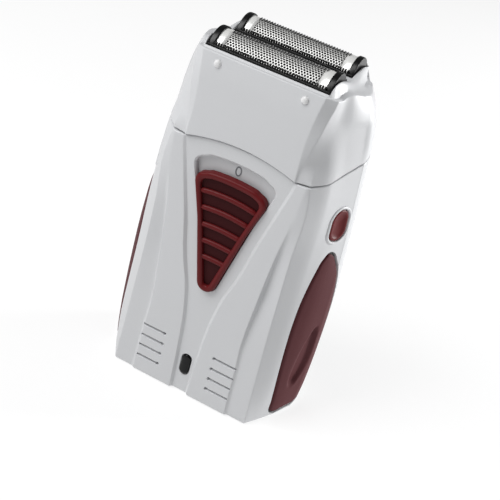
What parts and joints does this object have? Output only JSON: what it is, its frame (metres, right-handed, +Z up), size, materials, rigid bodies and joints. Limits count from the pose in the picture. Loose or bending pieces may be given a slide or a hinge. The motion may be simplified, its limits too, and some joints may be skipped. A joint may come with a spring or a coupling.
{
  "type": "foil shaver",
  "caption": "Hand-held rechargeable foil shaver: flat grey handle with a wedge-shaped slide switch, rubber side grips, a lift-off head and floating perforated foils.",
  "frame": {"origin": "centre of the flat base that the shaver stands on", "axes": "+Z up the handle to the foils, -Y towards the side with the slide switch, +X to the right seen from that side"},
  "size_m": [0.068, 0.0374, 0.1175],
  "materials": {
    "shell_grey": "satin",
    "burgundy": "satin",
    "grip_rubber": "matte",
    "black_plastic": "satin",
    "black_gloss": "gloss",
    "white_plastic": "satin",
    "steel": "satin",
    "foil_steel": "bright",
    "brass": "bright",
    "cell_wrap": "gloss",
    "board_green": "gloss",
    "red_lead": "gloss",
    "black_lead": "gloss",
    "seal_rubber": "matte",
    "led_body": "clear"
  },
  "bodies": {
    "handle": {"front_shell": "shell_grey", "back_shell": "shell_grey", "side_grip_left": "grip_rubber", "side_grip_right": "grip_rubber", "charge_light_lens": "black_gloss", "charge_inlet": "black_plastic", "inlet_contacts": "brass", "shell_screws": "steel", "chassis": "white_plastic", "motor_can": "steel", "motor_end_cap": "black_plastic", "motor_screws": "steel", "battery_cell": "cell_wrap", "battery_tabs": "steel", "battery_leads": "red_lead", "motor_leads": "black_lead", "circuit_board": "board_green", "switch_body": "steel", "charge_led": "led_body", "deck_plate": "shell_grey", "post_seals": "seal_rubber", "release_spring_left": "steel", "release_spring_right": "steel"},
    "slider": {"power_slider": "burgundy", "slider_carriage": "white_plastic", "switch_knob": "black_plastic"},
    "left_button": {"release_button_left": "burgundy"},
    "right_button": {"release_button_right": "burgundy"},
    "rotor": {"motor_shaft": "steel", "eccentric_cam": "white_plastic"},
    "front_arm": {"front_drive_arm": "white_plastic", "front_cutter_spring": "steel"},
    "rear_arm": {"rear_drive_arm": "white_plastic", "rear_cutter_spring": "steel"},
    "front_cutter": {"front_cutter_carrier": "black_plastic", "front_cutter_blades": "steel"},
    "rear_cutter": {"rear_cutter_carrier": "black_plastic", "rear_cutter_blades": "steel"},
    "head": {"head_housing": "shell_grey", "foil_retainer": "black_plastic"},
    "front_foil": {"front_foil_frame": "black_plastic", "front_foil_mesh": "foil_steel"},
    "rear_foil": {"rear_foil_frame": "black_plastic", "rear_foil_mesh": "foil_steel"}
  },
  "joints": [
    {"name": "power_slide", "type": "slide", "parent": "handle", "child": "slider", "axis": [0, 0, 1], "range_m": [0, 0.004]},
    {"name": "left_release", "type": "slide", "parent": "handle", "child": "left_button", "axis": [1, 0, 0], "range_m": [0, 0.0016], "stiffness_N_per_m": 400, "springref_m": -0.001, "deforming": ["release_spring_left"]},
    {"name": "right_release", "type": "slide", "parent": "handle", "child": "right_button", "axis": [-1, 0, 0], "range_m": [0, 0.0016], "stiffness_N_per_m": 400, "springref_m": -0.001, "deforming": ["release_spring_right"]},
    {"name": "rotor_spin", "type": "hinge", "parent": "handle", "child": "rotor", "pos_m": [0, 0, 0.06], "axis": [0, 0, 1], "continuous": true},
    {"name": "front_stroke", "type": "slide", "parent": "handle", "child": "front_arm", "axis": [1, 0, 0], "range_m": [-0.0012, 0.0012]},
    {"name": "rear_stroke", "type": "slide", "parent": "handle", "child": "rear_arm", "axis": [1, 0, 0], "range_m": [-0.0012, 0.0012]},
    {"name": "head_lift", "type": "slide", "parent": "handle", "child": "head", "axis": [0, 0, 1], "range_m": [0, 0.035]},
    {"name": "front_foil_float", "type": "slide", "parent": "head", "child": "front_foil", "axis": [0, 0, -1], "range_m": [0, 0.0015], "stiffness_N_per_m": 300, "springref_m": -0.001},
    {"name": "front_cutter_float", "type": "slide", "parent": "front_arm", "child": "front_cutter", "axis": [0, 0, -1], "range_m": [0, 0.0015], "stiffness_N_per_m": 300, "springref_m": -0.001, "deforming": ["front_cutter_spring"]},
    {"name": "rear_foil_float", "type": "slide", "parent": "head", "child": "rear_foil", "axis": [0, 0, -1], "range_m": [0, 0.0015], "stiffness_N_per_m": 300, "springref_m": -0.001},
    {"name": "rear_cutter_float", "type": "slide", "parent": "rear_arm", "child": "rear_cutter", "axis": [0, 0, -1], "range_m": [0, 0.0015], "stiffness_N_per_m": 300, "springref_m": -0.001, "deforming": ["rear_cutter_spring"]}
  ],
  "couplings": [
    {"joint": "rear_stroke", "follows": "front_stroke", "ratio": -1},
    {"joint": "front_cutter_float", "follows": "front_foil_float", "ratio": 1},
    {"joint": "rear_cutter_float", "follows": "rear_foil_float", "ratio": 1}
  ]
}
